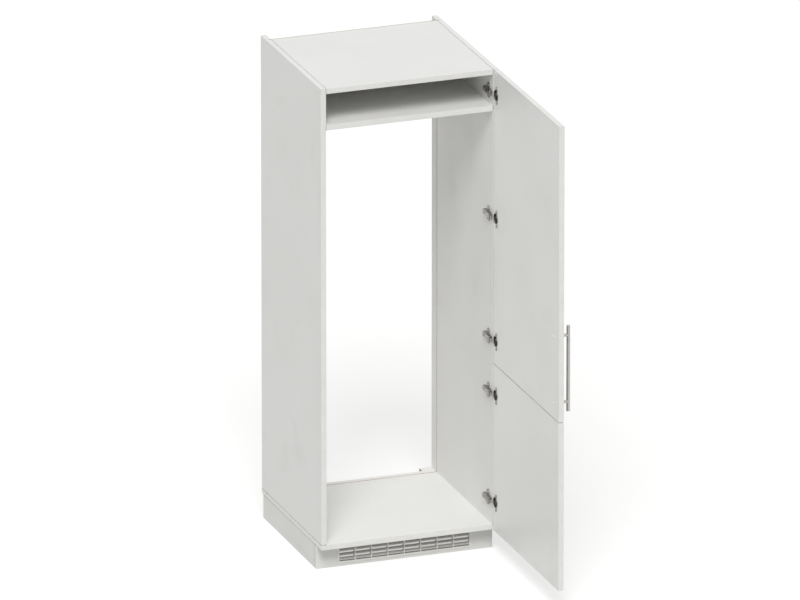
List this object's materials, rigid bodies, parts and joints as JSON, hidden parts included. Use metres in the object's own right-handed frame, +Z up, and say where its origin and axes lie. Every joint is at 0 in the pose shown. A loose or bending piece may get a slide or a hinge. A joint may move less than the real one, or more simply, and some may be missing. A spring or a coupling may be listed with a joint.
{
  "type": "fridge housing unit",
  "caption": "Tall open-backed kitchen housing for a built-in refrigerator, with a shelf above the niche, a ventilated plinth and two doors on cup hinges, standing open.",
  "frame": {"origin": "on the floor, in the middle of the width and of the front plinth board's thickness", "axes": "+Z up; the open doors point to -Y, the rear is at +Y, the hinge side is at +X"},
  "size_m": [0.6395, 1.171, 1.638],
  "materials": {
    "white_board": "white melamine-faced particle board, satin",
    "white_edging": "white plastic edging, satin",
    "back_board": "thin fibre board with a white front",
    "plinth_board": "white melamine-faced particle board, satin",
    "block_plastic": "moulded white plastic",
    "grille_plastic": "moulded white plastic, fine texture",
    "door_board": "white faced board, satin",
    "dowel_wood": "bare beech",
    "zinc_casting": "die-cast zinc, shown as grey metal",
    "screw_steel": "zinc-plated steel",
    "hinge_steel": "nickel-plated pressed steel",
    "handle_steel": "brushed steel"
  },
  "bodies": {
    "carcass": {"side_left": "white_board", "side_right": "white_board", "base_panel": "white_board", "top_panel": "white_board", "fixed_shelf": "white_board", "upper_back": "back_board", "side_left_edging": "white_edging", "side_right_edging": "white_edging", "base_edging": "white_edging", "top_edging": "white_edging", "shelf_edging": "white_edging", "plinth_front": "plinth_board", "plinth_left": "plinth_board", "plinth_right": "plinth_board", "plinth_rear_rail": "plinth_board", "plinth_blocks": "block_plastic", "plinth_screws": "screw_steel", "vent_grille": "grille_plastic", "carcass_dowels": "dowel_wood", "cam_housings": "zinc_casting", "cam_bolts": "screw_steel", "base_screws": "screw_steel", "back_pins": "screw_steel", "hinge_plate_1": "hinge_steel", "hinge_plate_2": "hinge_steel", "hinge_plate_3": "hinge_steel", "hinge_plate_4": "hinge_steel", "hinge_plate_5": "hinge_steel", "hinge_arm_1": "hinge_steel", "hinge_arm_2": "hinge_steel", "hinge_arm_3": "hinge_steel", "hinge_arm_4": "hinge_steel", "hinge_arm_5": "hinge_steel", "plate_screws": "screw_steel", "arm_screws": "screw_steel"},
    "upper_door": {"upper_door": "door_board", "upper_door_edging": "white_edging", "hinge_cup_1": "hinge_steel", "hinge_cup_2": "hinge_steel", "hinge_cup_3": "hinge_steel", "hinge_pin_1": "hinge_steel", "hinge_pin_2": "hinge_steel", "hinge_pin_3": "hinge_steel", "upper_cup_screws": "screw_steel", "handle_bar": "handle_steel", "handle_posts": "handle_steel", "handle_screws": "screw_steel"},
    "lower_door": {"lower_door": "door_board", "lower_door_edging": "white_edging", "hinge_cup_4": "hinge_steel", "hinge_cup_5": "hinge_steel", "hinge_pin_4": "hinge_steel", "hinge_pin_5": "hinge_steel", "lower_cup_screws": "screw_steel"}
  },
  "joints": [
    {"name": "upper_door_hinge", "type": "hinge", "parent": "carcass", "child": "upper_door", "pos_m": [0.2915, -0.07, 1.143], "axis": [0, 0, 1], "range_deg": [-90, 20]},
    {"name": "lower_door_hinge", "type": "hinge", "parent": "carcass", "child": "lower_door", "pos_m": [0.2915, -0.07, 0.3625], "axis": [0, 0, 1], "range_deg": [-90, 20]}
  ]
}
